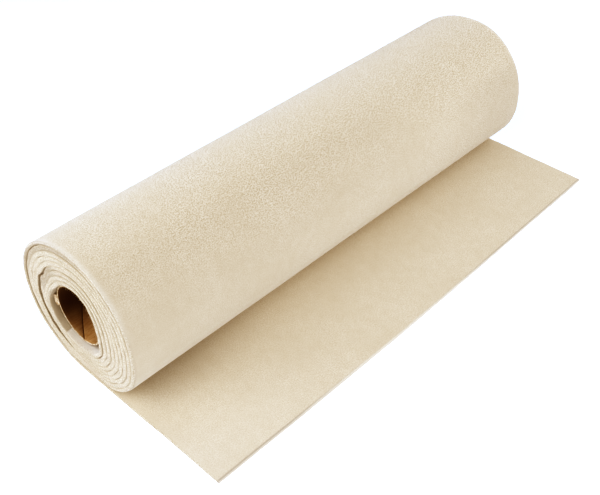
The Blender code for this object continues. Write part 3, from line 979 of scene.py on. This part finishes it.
def torn_ply(surface):
    """A ply torn loose at the tube's near rim: a thin uneven tab, bent outward, in the gap beside the felt.

    Its middle surface is a function of bearing and of reach from the rim. Its outline rises and falls as a
    sine with two uneven waves on it, and it stands off toward the near end as it reaches out.
    """
    across, reach = (np.linspace(0, 1, points) for points in TORN_POINTS)
    across = across[:, None]
    bearing = np.radians(TORN_FROM + (TORN_TO - TORN_FROM) * across)
    height = np.sin(math.pi * (across * 0.96 + 0.02)) ** TORN_SHARPNESS
    uneven = sum(size * np.sin(rate * across + phase) for size, rate, phase in TORN_WAVES)
    height = height * (TORN_MEAN + uneven)
    radius = CORE_BORE / 2 + TORN_STARTS * CORE_WALL + TORN_REACH * height * reach
    x = CORE_NEAR_END - TORN_OFF - TORN_BENT * reach**1.5 + TORN_CRINKLE * np.sin(7 * across + 3 * reach)
    y = CORE_AXIS_Y + radius * np.sin(bearing)
    z = CORE_AXIS_Z - radius * np.cos(bearing)
    middle = np.stack([x, y, z], axis=-1)
    both = np.stack([middle - (TORN_THICK / 2, 0, 0), middle + (TORN_THICK / 2, 0, 0)])
    rows, columns = middle.shape[:2]
    near = grid_faces(rows, columns)
    far = near[:, ::-1] + rows * columns
    number = np.arange(rows * columns).reshape(rows, columns)
    rim = np.concatenate([number[:-1, 0], number[-1, :-1], number[:0:-1, -1], number[0, :0:-1]])
    after = np.roll(rim, -1)
    side = np.stack([rim, rim + rows * columns, after + rows * columns, after], axis=-1)
    faces = np.concatenate([near, far, side])
    piece = make_piece("torn_ply", both + (SHIFT_X, SHIFT_Y, 0), faces.tolist(), surface)
    for name, value in (("from_seam", 1.0), ("cut_board", TORN_CUT), ("light_between", 1.0)):
        add_value(piece, name, np.full(both.size // 3, value))


# The stage

def look(position, down, turn, roll):
    """A matrix that looks down and turned from +X by the degrees given, rolled about the line of sight."""
    down, turn, roll = (math.radians(a) for a in (down, turn, roll))
    forward = np.array([math.cos(turn) * math.cos(down), math.sin(turn) * math.cos(down), -math.sin(down)])
    level = np.array([math.sin(turn), -math.cos(turn), 0.0])
    upright = np.cross(level, forward)
    right = level * math.cos(roll) + upright * math.sin(roll)
    up = -level * math.sin(roll) + upright * math.cos(roll)
    matrix = np.identity(4)
    matrix[:3, 0], matrix[:3, 1], matrix[:3, 2], matrix[:3, 3] = right, up, -forward, position
    return matrix


def camera():
    """The camera at the photograph's viewing angle."""
    data = bpy.data.cameras.new("camera")
    data.sensor_fit = "HORIZONTAL"
    data.sensor_width = SENSOR_MM
    data.lens = SENSOR_MM * FOCAL_PIXELS / PHOTO_WIDTH
    data.clip_start = 0.01
    made = bpy.data.objects.new("camera", data)
    position = np.array(CAMERA_AT) + (SHIFT_X, SHIFT_Y, 0)
    made.matrix_world = Matrix(look(position, CAMERA_DOWN, CAMERA_TURN, CAMERA_ROLL))
    bpy.context.scene.collection.objects.link(made)
    bpy.context.scene.camera = made


# Soft boxes round the roll, all square and aimed at its middle: place in metres and power in watts
SOFTBOX_SIZE, SOFTBOX_AIM = 1.2, (0, 0, 0.05)
SOFTBOXES = (
    ((-0.90, 0.10, 1.05), 5.2),
    ((-1.60, 1.10, 0.90), 3.6),
    ((-1.60, 0.50, 0.40), 9.4),
    ((0.60, -0.90, 1.20), 9.9),
    ((0.30, -1.40, 1.00), 5.0),
)
SKY = 0.36

# The paper floor: its grey and glow, half its side, and how far it lies under the roll
PAPER_GREY, PAPER_GLOW = 0.9, 0.32
FLOOR_HALF, FLOOR_UNDER = 4.0, 0.0003

# The photograph's warm toning, with less green and blue the darker it is. For each channel: the power, and a
# value with what it becomes
TONING = (
    (1.00, 0.730, 0.730),
    (1.24, 0.642, 0.636),
    (1.60, 0.506, 0.485),
)
TONING_POINTS = 14


def studio():
    """A plain pale floor under an even white sky, with large soft boxes round the roll."""
    world = bpy.data.worlds.new("studio")
    world.use_nodes = True
    background = world.node_tree.nodes["Background"]
    background.inputs["Color"].default_value = (1, 1, 1, 1)
    background.inputs["Strength"].default_value = SKY
    bpy.context.scene.world = world

    paper = start_material("white_paper_floor", {
        "Base Color": (PAPER_GREY, PAPER_GREY, PAPER_GREY, 1), "Roughness": 1.0, "Specular IOR Level": 0.0,
        "Emission Color": (1, 1, 1, 1), "Emission Strength": PAPER_GLOW,
    })[0]
    mesh = bpy.data.meshes.new("floor")
    corners = [(x * FLOOR_HALF, y * FLOOR_HALF, -FLOOR_UNDER) for x, y in ((-1, -1), (1, -1), (1, 1), (-1, 1))]
    mesh.from_pydata(corners, [], [(0, 1, 2, 3)])
    mesh.materials.append(paper)
    floor = bpy.data.objects.new("floor", mesh)
    bpy.context.scene.collection.objects.link(floor)

    for number, (place, power) in enumerate(SOFTBOXES, 1):
        light = bpy.data.lights.new(f"softbox_{number}", "AREA")
        light.shape = "RECTANGLE"
        light.size, light.size_y = SOFTBOX_SIZE, SOFTBOX_SIZE
        light.energy = power
        made = bpy.data.objects.new(f"softbox_{number}", light)
        made.location = place
        made.rotation_euler = (Vector(SOFTBOX_AIM) - Vector(place)).to_track_quat("-Z", "Y").to_euler()
        bpy.context.scene.collection.objects.link(made)


def toning():
    """Standard view with the photograph's toning: each channel is raised to a power that maps one value to
    another, as points on its curve.
    """
    view = bpy.context.scene.view_settings
    view.view_transform = "Standard"
    view.use_curve_mapping = True
    for curve, (power, value, kept) in zip(view.curve_mapping.curves, TONING):
        full = min(1.0, value * (1 / kept) ** (1 / power))
        curve.points[-1].location = (full, kept * (full / value) ** power)
        for at in np.linspace(0, full, TONING_POINTS)[1:-1]:
            curve.points.new(at, kept * (at / value) ** power)
    view.curve_mapping.update()


camera()
felt = needled_felt()
board = kraft_board()
core_tube(board)
torn_ply(board)
near_edge, near_facing = felt_cloth(felt)
edge_fuzz(felt, near_edge, near_facing)
studio()
toning()
